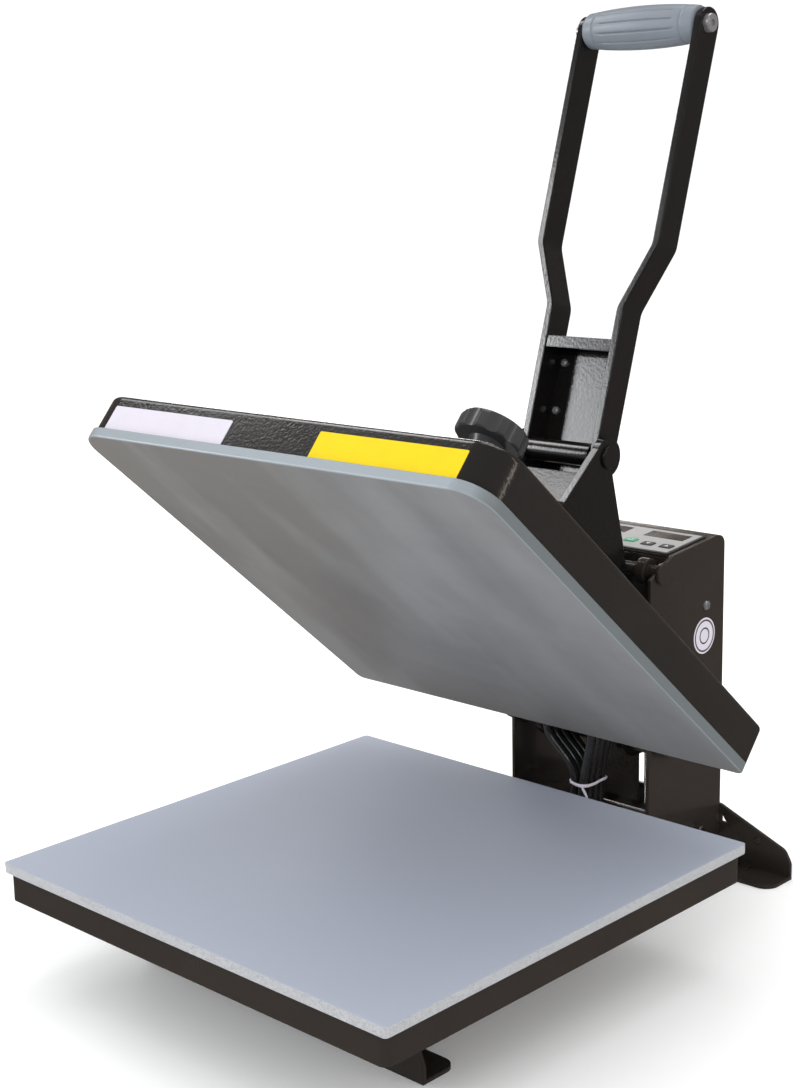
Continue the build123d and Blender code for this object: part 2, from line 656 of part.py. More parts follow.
def handle_web():
    """Folded sheet between the bars: rear plate, top shelf and its turned-down lip."""
    thick, start, end = 3.0, -14.0, 89.0
    web = block((-BAR_IN, BAR_IN), (start, end), (BAR_REAR, BAR_REAR + thick))
    shelf = block((-BAR_IN, BAR_IN), (end - thick, end), (BAR_REAR, BAR_FRONT - 1))
    lip = block((-BAR_IN, BAR_IN), (end - 9, end), (BAR_FRONT - 1 - thick, BAR_FRONT - 1))
    return IN_HANDLE * (web + shelf + lip)


def web_screws():
    screws = []
    for x in (-25, 25):
        for s in (33, 71):
            head = Pos(x, s, BAR_REAR + 3 + 1.3) * Cylinder(3.2, 2.6)
            screws.append(IN_HANDLE * fillet(head.faces().sort_by(Axis.Z)[-1].edges(), 1.6))
    return Compound(children=screws)


def grip_bolt():
    """Through bolt that the grip turns on, with a round head outside each bar."""
    rod = across(-GRIP_OUT, GRIP_OUT, GRIP_S, GRIP_N, 4)
    head = across(GRIP_OUT, GRIP_OUT + 4.5, GRIP_S, GRIP_N, 7)
    head = fillet(head.faces().sort_by(Axis.X)[-1].edges(), 1.5)
    head -= hex_across(GRIP_OUT + 2.5, GRIP_OUT + 6, GRIP_S, GRIP_N, 5)
    return IN_HANDLE * (rod + head + mirror(head, Plane.YZ))


def grip():
    """Barrel-shaped sleeve, thickest in the middle, with a collar at each end."""
    half, end_r, middle_r = GRIP_IN - 0.6, 13.0, 16.5
    outline = make_face(Curve() + [
        Line((0, -half), (end_r - 1, -half)),
        ThreePointArc((end_r - 1, -half), (end_r - 0.3, -half + 0.3), (end_r, -half + 1)),
        ThreePointArc((end_r, -half + 1), (middle_r, 0), (end_r, half - 1)),
        ThreePointArc((end_r, half - 1), (end_r - 0.3, half - 0.3), (end_r - 1, half)),
        Line((end_r - 1, half), (0, half)), Line((0, half), (0, -half))])
    sleeve = Rot(0, 90, 0) * revolve(Plane.XZ * outline, Axis.Z)
    sleeve = Pos(0, GRIP_S, GRIP_N) * sleeve - across(-60, 60, GRIP_S, GRIP_N, 4 + RUN)
    return IN_HANDLE * sleeve


parts["handle_bar_right"] = handle_bar()
parts["handle_bar_left"] = mirror(handle_bar(), Plane.YZ)
parts["handle_web"] = handle_web()
parts["web_screws"] = web_screws()
parts["grip_bolt"] = grip_bolt()
parts["grip"] = grip()


# ---- leads and mains cord -----------------------------------------------------------
def heater_lead():
    """Lead from the box to the platen, slack enough for the arm's swing."""
    mouth = SWING * Pos(LEAD_X, LEAD_Y, COVER_TOP + 8)
    above = SWING * Pos(LEAD_X, LEAD_Y, COVER_TOP + 30)
    top = SWING * Pos(LEAD_X, LEAD_Y + 14, COVER_TOP + 48)
    points = [(0, LID_FRONT[0] + 6, 192), (0, 250, 191), (0, 236, 200),
              tuple(top.position), tuple(above.position), tuple(mouth.position)]
    return tube_along(points, LEAD_R)


def cord_gland():
    """Threaded gland with a hexagonal nut and a tapered strain relief below the box."""
    x, y = GLAND
    body = upright(x, y, BOX_FLOOR - 5, BOX_FLOOR + 8, 8)
    nut = Pos(x, y, BOX_FLOOR - 6) * extrude(RegularPolygon(22 / math.sqrt(3), 6), 6)
    relief = Pos(x, y, BOX_FLOOR - 6 - 13) * Cone(5.6, 8.5, 26)
    return body + nut + relief - upright(x, y, BOX_FLOOR - 14, BOX_FLOOR + 12, CORD_R + 0.3) \
        - upright(x, y, BOX_FLOOR - 40, BOX_FLOOR, CORD_R)


CORD_TO_HANK = [
    (10, 322, 166), (10, 322, 138), (9, 323.5, 104), (10, 323.5, 70), (11, 320, 42), (10, 311, 20),
    (8, 294, 7), (6, 276, 4), (5, 259, 4.2), (5, 244, 7), (6, 234, 13),
]
CORD_TO_PLUG = [(-9.5, 211.5, 8), (-22.5, 219, 7), (-32, 230.5, 7.4), (-36.5, 244, 8.8), (-36, 257.5, 9.2)]
HANK = ((4, 4, 40, 32), (5, 28, 53, 34), (13, 62, 44, 34), (20, 92, 26, 34), (10, 134, 50, 34),
        (10, 161, 26, 32))
HANK_Y = 225.5
PLUG = (-36.0, 254.0, 9.2)


def cord_hank():
    """Outer shape of the tied hank, narrow at its tie: sections as middle X, Z and two widths."""
    sections = [Pos(x, HANK_Y, z) * Ellipse(wide / 2, deep / 2) for x, z, wide, deep in HANK]
    return loft(sections)


def plug():
    """Moulded three-pin plug lying on the floor, pins to the rear."""
    x, y, z = PLUG
    body = block((x - 12, x + 12), (y + 14, y + 36), (z - 9, z + 9))
    body = fillet(body.edges().filter_by(Axis.Y), 5)
    body = fillet(body.faces().sort_by(Axis.Y)[0].edges(), 3)
    tail = Pos(x, y + 9, z) * Rot(-90, 0, 0) * Cone(5, 7.5, 18)
    pins = block((x - 7.1, x - 5.6), (y + 36, y + 54), (z + 0.5, z + 7))
    pins += block((x + 5.6, x + 7.1), (y + 36, y + 54), (z + 0.5, z + 7))
    pins += Pos(x, y + 46, z - 4.5) * Rot(90, 0, 0) * Cylinder(2.4, 20)
    return body + tail + pins - Pos(x, y, z) * Rot(-90, 0, 0) * Cylinder(CORD_R, 8)


parts["heater_lead"] = heater_lead()
parts["cord_gland"] = cord_gland()
parts["power_cord"] = tube_along(CORD_TO_HANK, CORD_R)
parts["cord_tail"] = tube_along(CORD_TO_PLUG, CORD_R)
parts["cord_hank"] = cord_hank()
parts["plug"] = plug()


# ---- files --------------------------------------------------------------------------
def write():
    os.makedirs("parts", exist_ok=True)
    for name, shape in parts.items():
        solids = (Pos(0, -ORIGIN_Y, 0) * shape).solids()
        piece = solids[0] if len(solids) == 1 else Compound(solids)
        export_step(piece, os.path.join("parts", name + ".step"))
    print(len(parts), "nodes; handle pivot", HANDLE_OPEN, "link pin", LINK_PIN,
          "hinge", PIVOT, "spring pin", TAIL_OPEN)


write()
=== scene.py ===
import json
import math
import bpy
from mathutils import Matrix, Vector, noise


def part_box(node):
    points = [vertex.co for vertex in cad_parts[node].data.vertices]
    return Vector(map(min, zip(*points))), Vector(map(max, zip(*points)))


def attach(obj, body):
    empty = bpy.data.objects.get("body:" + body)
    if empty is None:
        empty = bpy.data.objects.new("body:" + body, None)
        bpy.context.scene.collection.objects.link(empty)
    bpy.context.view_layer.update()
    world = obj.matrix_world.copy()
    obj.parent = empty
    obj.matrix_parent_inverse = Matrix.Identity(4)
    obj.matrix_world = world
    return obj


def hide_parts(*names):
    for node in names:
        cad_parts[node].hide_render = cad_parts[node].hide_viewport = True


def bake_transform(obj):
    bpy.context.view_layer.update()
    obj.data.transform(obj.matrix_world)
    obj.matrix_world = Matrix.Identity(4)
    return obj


# Clamshell heat press, open.  Metres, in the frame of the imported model:
# +X the user's right, +Y the rear, +Z up, the floor at Z = 0.
# The cord's, its tie's and the lead's values are in millimetres, and MM turns them into metres.

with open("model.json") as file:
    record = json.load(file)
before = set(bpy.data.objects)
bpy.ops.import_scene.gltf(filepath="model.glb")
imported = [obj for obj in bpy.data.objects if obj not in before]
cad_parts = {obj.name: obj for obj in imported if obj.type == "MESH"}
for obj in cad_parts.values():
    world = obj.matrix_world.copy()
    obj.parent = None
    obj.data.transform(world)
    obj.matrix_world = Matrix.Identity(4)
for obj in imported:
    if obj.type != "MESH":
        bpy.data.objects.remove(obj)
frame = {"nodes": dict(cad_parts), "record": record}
NODES = frame["nodes"]
SLOT_OF = {p["node"]: p["material_slot"] for p in frame["record"]["subparts"]}
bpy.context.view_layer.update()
MM = 0.001
REAR_SHIFT = 0.077        # middle of the press behind the middle of the pad
TILT = math.radians(41)   # platen above the horizontal
RIGHT = Vector((1, 0, 0))
UP = Vector((0, 0, 1))


# ---- camera -------------------------------------------------------------------------
AZIMUTH = math.radians(45.9)
ELEVATION = math.radians(12.6)
ROLL = math.radians(-1.8)
CAMERA_AIM = Vector((0, -REAR_SHIFT, 0.230))
CAMERA_BACK = 1.3031      # from the aim, and then aside and up
CAMERA_ASIDE = -0.0419
CAMERA_RISE = 0.0851
SENSOR = 36.0             # millimetres along the frame's longer side
LENS = 61.0908
SHIFT = (0.0795037, 0.0036765)   # parts of the longer side


def make_camera():
    back = Vector((math.sin(AZIMUTH) * math.cos(ELEVATION),
                   -math.cos(AZIMUTH) * math.cos(ELEVATION), math.sin(ELEVATION)))
    level = Vector((math.cos(AZIMUTH), math.sin(AZIMUTH), 0))
    upright = back.cross(level)
    right = level * math.cos(ROLL) + upright * math.sin(ROLL)
    top = upright * math.cos(ROLL) - level * math.sin(ROLL)
    place = CAMERA_AIM + back * CAMERA_BACK + right * CAMERA_ASIDE + top * CAMERA_RISE
    data = bpy.data.cameras.new("camera")
    data.sensor_width = SENSOR
    data.lens = LENS
    data.shift_x, data.shift_y = SHIFT
    obj = bpy.data.objects.new("camera", data)
    obj.matrix_world = Matrix((
        (right.x, top.x, back.x, place.x), (right.y, top.y, back.y, place.y),
        (right.z, top.z, back.z, place.z), (0, 0, 0, 1)))
    bpy.context.scene.collection.objects.link(obj)
    bpy.context.scene.camera = obj


make_camera()


# ---- shapes -------------------------------------------------------------------------
def new_mesh(name, verts, faces, smooth=True):
    mesh = bpy.data.meshes.new(name)
    mesh.from_pydata([tuple(v) for v in verts], [], faces)
    mesh.validate()
    mesh.update()
    if smooth:
        mesh.shade_smooth()
    obj = bpy.data.objects.new(name, mesh)
    bpy.context.scene.collection.objects.link(obj)
    return obj


def round_angles(sides):
    """Angles in even steps once round a circle."""
    return [2 * math.pi * j / sides for j in range(sides)]


class Build:
    """Vertices and faces of one piece, added shape by shape."""

    def __init__(self):
        self.verts = []
        self.faces = []

    def ring_skin(self, rings, closed=False, caps=True):
        """Skin over rings of the same number of points."""
        base = len(self.verts)
        count = len(rings[0])
        for ring in rings:
            self.verts += [Vector(p) for p in ring]
        steps = len(rings) if closed else len(rings) - 1
        for i in range(steps):
            a = base + i * count
            b = base + (i + 1) % len(rings) * count
            for j in range(count):
                k = (j + 1) % count
                self.faces.append((a + j, a + k, b + k, b + j))
        if caps and not closed:
            last = base + (len(rings) - 1) * count
            self.faces.append(tuple(range(base + count - 1, base - 1, -1)))
            self.faces.append(tuple(range(last, last + count)))

    def tube(self, points, radius, sides=10, closed=False, flat=1.0):
        """Tube along points, flattened across its first axis by flat."""
        points = [Vector(p) for p in points]
        n = len(points)
        aims = []
        for i in range(n):
            if closed:
                aims.append((points[(i + 1) % n] - points[i - 1]).normalized())
            else:
                aims.append((points[min(i + 1, n - 1)] - points[max(i - 1, 0)]).normalized())
        side = aims[0].orthogonal().normalized()
        if abs(aims[0].dot(UP)) < 0.9:
            side = aims[0].cross(UP).normalized()
        rings = []
        for point, aim in zip(points, aims):
            side = (side - aim * side.dot(aim)).normalized()
            other = aim.cross(side)
            rings.append([point + side * (radius * flat * math.cos(t)) + other * (radius * math.sin(t))
                          for t in round_angles(sides)])
        self.ring_skin(rings, closed)

    def make(self, name, smooth=True):
        return new_mesh(name, self.verts, self.faces, smooth)


def line_of(points):
    """Points along the smooth line of a route: one open NURBS spline, read back without a bevel."""
    data = bpy.data.curves.new("route", "CURVE")
    data.dimensions = "3D"
    data.resolution_u = 8
    spline = data.splines.new("NURBS")
    spline.points.add(len(points) - 1)
    for place, point in zip(spline.points, points):
        place.co = (*point, 1.0)
    spline.order_u = 3
    spline.use_endpoint_u = True
    obj = bpy.data.objects.new("route", data)
    bpy.context.scene.collection.objects.link(obj)
    mesh = bpy.data.meshes.new_from_object(obj)
    line = [v.co.copy() for v in mesh.vertices]
    bpy.data.objects.remove(obj)
    return line


def rear_frame(points):
    """Millimetres counted from the pad's middle, as metres in the model's frame."""
    return [Vector((x * MM, y * MM - REAR_SHIFT, z * MM)) for x, y, z in points]


# ---- mains cord, its hank, tie and plug -----------------------------------------------
CORD_R = 3.5
CORD_SIDES = 20
CORD_TO_HANK = [
    (10, 322, 166), (10, 322, 138), (9, 323.5, 104), (10, 323.5, 70), (11, 320, 42), (10, 311, 20),
    (8, 294, 7), (6, 276, 4), (5, 260, 4), (5, 246.5, 12.5), (6.5, 238.7, 26), (9.5, 238.7, 42),
    (13, 238.7, 58), (15.8, 238.7, 74.5), (16.8, 238.7, 91.5)]
CORD_TO_PLUG = [
    (-4, 210.4, 4), (-18, 212.6, 4.2), (-29, 221, 5), (-35.6, 233.5, 7), (-37, 247, 9), (-36, 258, 9.2)]
WHOLE_TURNS = 3
TURN_STEP = 7.6           # from one turn to the next
FIRST_Y = 238.7
FOLD_R = 22.8             # a little over three diameters, where the turns fold over
TOP_FOLD = (10.2, 137.5)  # centres of the two folds, (X, Z)
LOW_FOLD = (4.5, 26.8)
UP_FROM_TIE = [(11.6, 105), (0.6, 115.2)]
DOWN_THROUGH_TIE = [
    (33, 129), (30.2, 114), (27.1, 99), (25.2, 83), (25.2, 66.5), (26.8, 50.5), (28.4, 35)]
UP_TO_TIE = [(-8.6, 48), (5.4, 66), (14.8, 78), (16.8, 91.7)]

TIE_Z = 91.0
HANK_REAR = 243.0         # the rest of the cord lies behind this
TIE_GAP = 0.9             # from the cord to the middle of the tie
TIE_HALF_WIDTH = 1.5
TIE_FLAT = 0.45           # thickness to width
TIE_STEP = 3.0
WIRE_R = 0.65
TAIL_LENGTHS = {1: 24, -1: 28}
TAIL_STEPS = 24
TAIL_TWIST = 9.0          # radians along one tail


def fold(centre, first, last, count, way):
    """Points round one fold, from the first angle to the last, over the top or under the bottom."""
    step = (last - first) / (count - 1)
    reach = FOLD_R / math.cos(math.radians(step / 2))
    angles = [math.radians(first + step * k) for k in range(count)]
    return [(centre[0] + reach * math.sin(a), centre[1] + way * reach * math.cos(a)) for a in angles]


def hank_points():
    """Turns side by side from the rear to the front, drawn together by the tie."""
    top = fold(TOP_FOLD, -118, 72, 6, 1)
    low = fold(LOW_FOLD, 68, -108, 5, -1)
    shape = UP_FROM_TIE + top + DOWN_THROUGH_TIE + low + UP_TO_TIE
    last_turn = len(UP_FROM_TIE + top + DOWN_THROUGH_TIE) + 2
    points = []
    for i in range(WHOLE_TURNS * len(shape) + last_turn):
        x, z = shape[i % len(shape)]
        points.append((x, FIRST_Y - TURN_STEP * i / len(shape), z))
    return points


cord_line = line_of(rear_frame(CORD_TO_HANK + hank_points() + CORD_TO_PLUG))
cord_build = Build()
cord_build.tube(cord_line, CORD_R * MM, CORD_SIDES)
cord = cord_build.make("mains_cord")


def hull(points):
    """Convex outline of (x, y) points, anticlockwise."""
    points = sorted(points)

    def half(order):
        chain = []
        for p in order:
            while len(chain) > 1 and ((chain[-1][0] - chain[-2][0]) * (p[1] - chain[-2][1])
                                      <= (chain[-1][1] - chain[-2][1]) * (p[0] - chain[-2][0])):
                chain.pop()
            chain.append(p)
        return chain[:-1]
    return half(points) + half(points[::-1])


def tie_outline(height):
    """Outline of the tie round all the turns that pass through its height."""
    rear = HANK_REAR * MM - REAR_SHIFT
    reach = (CORD_R + TIE_GAP) * MM
    around = []
    for a, b in zip(cord_line, cord_line[1:]):
        if (a.z - height) * (b.z - height) <= 0 and a.y < rear and a.z != b.z:
            middle = a.lerp(b, (height - a.z) / (b.z - a.z))
            around += [(middle.x + reach * math.cos(t), middle.y + reach * math.sin(t))
                       for t in round_angles(12)]
    return hull(around)


def tie_tail(knot, way):
    """One end of the tie, twisted with the other at the knot and parting from it below."""
    aim = Vector((0.35, 0.05, -0.93)).normalized()
    side = aim.cross(UP).normalized()
    front = aim.cross(side)
    start = 0 if way > 0 else math.pi
    points = []
    for k in range(TAIL_STEPS + 1):
        s = k / TAIL_STEPS
        spread = math.sin(s * TAIL_TWIST + start) * 0.9 * (1 - s) + way * 2.2 * s * s
        wave = math.cos(s * TAIL_TWIST) * 0.7 * (1 - s)
        points.append(knot + (aim * TAIL_LENGTHS[way] * s + side * spread + front * wave) * MM)
    return points


def make_tie():
    """Plastic-covered wire tie round the hank, its two ends twisted and left long."""
    height = TIE_Z * MM
    outline = tie_outline(height)
    spaced = []
    for (x0, y0), (x1, y1) in zip(outline, outline[1:] + outline[:1]):
        steps = max(1, round(math.hypot(x1 - x0, y1 - y0) / (TIE_STEP * MM)))
        spaced += [(x0 + (x1 - x0) * k / steps, y0 + (y1 - y0) * k / steps) for k in range(steps)]
    build = Build()
    build.tube([(x, y, height + 0.4 * MM * math.sin(i * 0.7)) for i, (x, y) in enumerate(spaced)],
               TIE_HALF_WIDTH * MM, 8, closed=True, flat=TIE_FLAT)
    knot = Vector(max(((x, y, height) for x, y in outline), key=lambda p: p[0] - 1.3 * p[1]))
    for way in (-1, 1):
        build.tube(tie_tail(knot, way), WIRE_R * MM, 7)
    return build.make("cord_tie")


tie = make_tie()
for piece in (cord, tie):
    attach(piece, "base")
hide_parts("power_cord", "cord_tail", "cord_hank")


# ---- materials ----------------------------------------------------------------------
class Paint:
    """One procedural material, in the object's own coordinates."""

    def __init__(self, name, colour, rough, metal=0.0, coat=0.0, coat_rough=0.05, specular=0.5):
        self.material = bpy.data.materials.new(name)
        self.material.use_nodes = True
        self.tree = self.material.node_tree
        self.main = self.tree.nodes["Principled BSDF"]
        self.colour = self.rgb(colour)
        self.set("Roughness", rough)
        self.set("Metallic", metal)
        self.set("Coat Weight", coat)
        self.set("Coat Roughness", coat_rough)
        self.set("Specular IOR Level", specular)
        self.link(self.colour, self.main.inputs["Base Color"])
        self.coated = coat > 0
        self.place = self.tree.nodes.new("ShaderNodeTexCoord").outputs["Object"]
        self.normal = None

    def node(self, kind, **inputs):
        """New node with its inputs set; _ in an input's name stands for a space."""
        made = self.tree.nodes.new(kind)
        for key, value in inputs.items():
            made.inputs[key.replace("_", " ")].default_value = value
        return made

    def link(self, a, b):
        self.tree.links.new(a, b)

    def set(self, name, value):
        self.main.inputs[name].default_value = value

    def feed(self, socket, value):
        """Set a socket to a number, or join it to another socket."""
        if isinstance(value, (int, float)):
            socket.default_value = value
        else:
            self.link(value, socket)

    def rgb(self, colour):
        made = self.tree.nodes.new("ShaderNodeRGB")
        made.outputs[0].default_value = (*colour, 1)
        return made.outputs[0]

    def maths(self, operation, *values):
        made = self.tree.nodes.new("ShaderNodeMath")
        made.operation = operation
        for socket, value in zip(made.inputs, values):
            self.feed(socket, value)
        return made.outputs[0]

    def noise(self, scale, detail=3.0, stretch=None, turn=(0, 0, 0)):
        place = self.place
        if stretch:
            mapping = self.node("ShaderNodeMapping", Rotation=turn, Scale=stretch)
            self.link(place, mapping.inputs["Vector"])
            place = mapping.outputs[0]
        made = self.node("ShaderNodeTexNoise", Scale=scale, Detail=detail)
        self.link(place, made.inputs["Vector"])
        return made.outputs["Fac"]

    def axes(self):
        """X, Y and Z of the place on the piece."""
        parts = self.tree.nodes.new("ShaderNodeSeparateXYZ")
        self.link(self.place, parts.inputs[0])
        return parts.outputs

    def facing(self, way):
        """1 where the piece's own surface faces this way, down to -1 on its far side."""
        made = self.tree.nodes.new("ShaderNodeVectorMath")
        made.operation = "DOT_PRODUCT"
        made.inputs[1].default_value = way
        self.link(self.place.node.outputs["Normal"], made.inputs[0])
        return made.outputs["Value"]

    def ramp(self, value, low, high):
        """0 at low and 1 at high."""
        made = self.node("ShaderNodeMapRange", From_Min=low, From_Max=high)
        self.link(value, made.inputs["Value"])
        return made.outputs[0]

    def mix(self, share, colour):
        """Lay a colour over what is there by this share."""
        made = self.tree.nodes.new("ShaderNodeMix")
        made.data_type = "RGBA"
        self.feed(made.inputs[0], share)
        self.link(self.colour, made.inputs[6])
        made.inputs[7].default_value = (*colour, 1)
        self.colour = made.outputs[2]
        self.link(self.colour, self.main.inputs["Base Color"])

    def blotches(self, value, low, high, most, colour):
        """Lay a colour over where value rises from low to high, by this share at the most."""
        self.mix(self.maths("MULTIPLY", self.ramp(value, low, high), most), colour)

    def vary_rough(self, value, low, high):
        made = self.node("ShaderNodeMapRange", From_Min=0.3, From_Max=0.7, To_Min=low, To_Max=high)
        self.link(value, made.inputs["Value"])
        self.link(made.outputs[0], self.main.inputs["Roughness"])

    def use_normal(self, normal):
        self.normal = normal
        self.link(normal, self.main.inputs["Normal"])
        if self.coated:
            self.link(normal, self.main.inputs["Coat Normal"])

    def bump(self, value, height, strength=1.0):
        made = self.node("ShaderNodeBump", Strength=strength, Distance=height)
        self.link(value, made.inputs["Height"])
        if self.normal:
            self.link(self.normal, made.inputs["Normal"])
        self.use_normal(made.outputs[0])

    def round_edges(self, radius):
        """Light on the edges as if they were rounded to this radius."""
        made = self.node("ShaderNodeBevel", Radius=radius)
        made.samples = 4
        self.use_normal(made.outputs[0])


def scaled(colour, by, more=0.0):
    return tuple(min(1, c * by + more) for c in colour)


def painted(name, colour, rough, peel, edge, dust=0.12):
    """Gloss powder coat with orange peel and a little brown dust."""
    p = Paint(name, colour, rough, coat=0.6, coat_rough=0.07, specular=0.4)
    p.round_edges(edge)
    p.bump(p.noise(420, 2), peel)
    p.vary_rough(p.noise(14, 6), rough - 0.05, rough + 0.08)
    p.blotches(p.noise(9, 8), 0.5, 0.8, dust, (0.09, 0.06, 0.04))
    return p.material


def metal(name, colour, rough, grain=(1, 1, 1), bare=1.0):
    """Ground or plated metal, darker in patches."""
    p = Paint(name, colour, rough, metal=bare)
    p.round_edges(0.0003)
    p.bump(p.noise(700, 3, stretch=grain), 0.00002, 0.6)
    p.vary_rough(p.noise(60, 5), rough - 0.08, rough + 0.12)
    p.blotches(p.noise(45, 6), 0.45, 0.7, 0.15, scaled(colour, 0.35))
    return p.material


def moulded(name, colour, rough, grain=0.00003, edge=0.0004, coat=0.0):
    """Moulded plastic with a fine grain and paler rubbed patches."""
    p = Paint(name, colour, rough, coat=coat, coat_rough=0.12)
    p.round_edges(edge)
    p.bump(p.noise(1500, 2), grain)
    p.vary_rough(p.noise(30, 5), rough - 0.05, rough + 0.1)
    p.blotches(p.noise(25, 6), 0.4, 0.8, 0.15, scaled(colour, 1.6, 0.01))
    return p.material


def coated_plate():
    """Heated plate: satin coating with faint light streaks below that are painted reflections, a paler
    rim, and painted shade that darkens it to the right and on its right-facing sides.
    """
    turn = (TILT, 0, 0)
    below = (0, -math.sin(TILT), -math.cos(TILT))
    p = Paint("plate_aluminium", (0.27, 0.258, 0.247), 0.4, metal=0.25)
    p.round_edges(0.0009)
    p.bump(p.noise(380, 3, stretch=(0.08, 1, 1), turn=turn), 0.00003, 0.7)
    # Light streaks across the plate's underside: painted reflections.
    painted_reflection_streaks = p.noise(6, 5, stretch=(2.6, 0.7, 0.4), turn=turn)
    clouds = p.noise(4.5, 5, stretch=(1.6, 0.8, 0.6))
    p.blotches(painted_reflection_streaks, 0.47, 0.66, 0.55, (0.40, 0.405, 0.40))
    p.blotches(clouds, 0.47, 0.66, 0.5, (0.15, 0.155, 0.16))
    # Painted shade: darker and bluer towards the right.
    p.blotches(p.axes()["X"], -0.12, 0.17, 0.4, (0.2, 0.215, 0.225))
    p.mix(p.ramp(p.facing(below), 0.93, 0.8), (0.34, 0.385, 0.415))
    # Painted shade on the right-facing sides, rim included.
    p.mix(p.ramp(p.facing(RIGHT), 0.6, 0.95), (0.19, 0.215, 0.225))
    p.vary_rough(p.noise(12, 6, stretch=(0.4, 2, 1), turn=turn), 0.3, 0.48)
    return p.material


def silicone():
    """Foamed silicone sheet: moulded skin on top, open pores where it was cut."""
    p = Paint("silicone", (0.39, 0.423, 0.505), 0.66, specular=0.3)
    p.blotches(p.noise(5, 5), 0.35, 0.7, 0.3, (0.37, 0.405, 0.485))
    cut = p.ramp(p.maths("ABSOLUTE", p.facing(UP)), 0.6, 0.2)
    pores = p.ramp(p.noise(1100, 2), 0.62, 0.52)
    p.mix(cut, (0.47, 0.48, 0.5))
    p.mix(p.maths("MULTIPLY", cut, p.maths("SUBTRACT", 0.5, p.maths("MULTIPLY", pores, 0.5))),
          (0.3, 0.29, 0.3))
    skin = p.maths("MULTIPLY", p.noise(900, 2), 0.25)
    p.bump(p.maths("ADD", skin, p.maths("MULTIPLY", pores, cut)), 0.0004, 0.7)
    return p.material


MEMBRANE_RIM = 0.0029
RED_MARKS = ((-0.046, 0.2300), (-0.046, 0.2375))
RED_MARK_R = 0.0015


def membrane():
    """Grey printed overlay with a dark rim and two small red marks beside the windows."""
    low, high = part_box("membrane_panel")
    p = Paint("membrane_grey", (0.42, 0.42, 0.42), 0.38, specular=0.4)
    x, y, _ = p.axes()
    middle_y = (low.y + high.y) / 2
    from_side = p.maths("SUBTRACT", high.x, p.maths("ABSOLUTE", x))
    from_end = p.maths("SUBTRACT", high.y - middle_y,
                       p.maths("ABSOLUTE", p.maths("SUBTRACT", y, middle_y)))
    edge = p.maths("MINIMUM", from_side, from_end)
    p.mix(p.ramp(edge, MEMBRANE_RIM + 0.0002, MEMBRANE_RIM - 0.0002), (0.02, 0.02, 0.022))
    for mark_x, mark_y in RED_MARKS:
        along = p.maths("POWER", p.maths("SUBTRACT", x, mark_x), 2.0)
        across = p.maths("POWER", p.maths("SUBTRACT", y, mark_y), 2.0)
        away = p.maths("SQRT", p.maths("ADD", along, across))
        p.mix(p.ramp(away, RED_MARK_R + 0.0002, RED_MARK_R - 0.0001), (0.5, 0.03, 0.03))
    p.round_edges(0.0003)
    p.bump(p.noise(1800, 2), 0.00002)
    return p.material


def sticker(name, colour):
    """Printed vinyl, slightly uneven."""
    p = Paint(name, colour, 0.35, coat=0.05, coat_rough=0.15, specular=0.15)
    p.blotches(p.noise(60, 6), 0.45, 0.8, 0.12, scaled(colour, 0.6))
    p.bump(p.noise(90, 3), 0.00006)
    return p.material


def board():
    """Green circuit board with lighter copper tracks."""
    p = Paint("board_green", (0.02, 0.12, 0.05), 0.35, coat=0.3)
    tracks = p.node("ShaderNodeTexBrick", Scale=160)
    p.link(p.place, tracks.inputs["Vector"])
    p.mix(p.maths("MULTIPLY", tracks.outputs["Fac"], 0.6), (0.08, 0.3, 0.12))
    return p.material


def felt(name, colour):
    """Matted mineral fibre."""
    p = Paint(name, colour, 0.95, specular=0.1)
    p.mix(p.ramp(p.noise(300, 5), 0.4, 0.7), scaled(colour, 0.75))
    p.bump(p.noise(600, 6), 0.0006)
    return p.material


def braid(name, colour):
    """Glass-fibre sleeve woven over the heater lead."""
    p = Paint(name, colour, 0.6, specular=0.3)
    waves = []
    for turn in (0.8, -0.8):
        mapping = p.node("ShaderNodeMapping", Rotation=(turn, 0, 0))
        p.link(p.place, mapping.inputs["Vector"])
        wave = p.node("ShaderNodeTexWave", Scale=420.0, Distortion=0.6)
        wave.bands_direction = "Z"
        p.link(mapping.outputs[0], wave.inputs["Vector"])
        waves.append(wave.outputs["Fac"])
    woven = p.maths("MAXIMUM", *waves)
    p.mix(p.maths("MULTIPLY", woven, 0.5), scaled(colour, 2.2, 0.02))
    p.bump(woven, 0.0002)
    return p.material


def cord_sheath(name, colour, rough):
    """Soft black cord sheath with rubbed, dusty patches."""
    p = Paint(name, colour, rough, coat=0.5, coat_rough=0.1)
    p.blotches(p.noise(50, 6), 0.45, 0.8, 0.3, (0.05, 0.045, 0.04))
    p.bump(p.noise(250, 3), 0.00005)
    p.vary_rough(p.noise(40, 5), rough - 0.05, rough + 0.12)
    return p.material


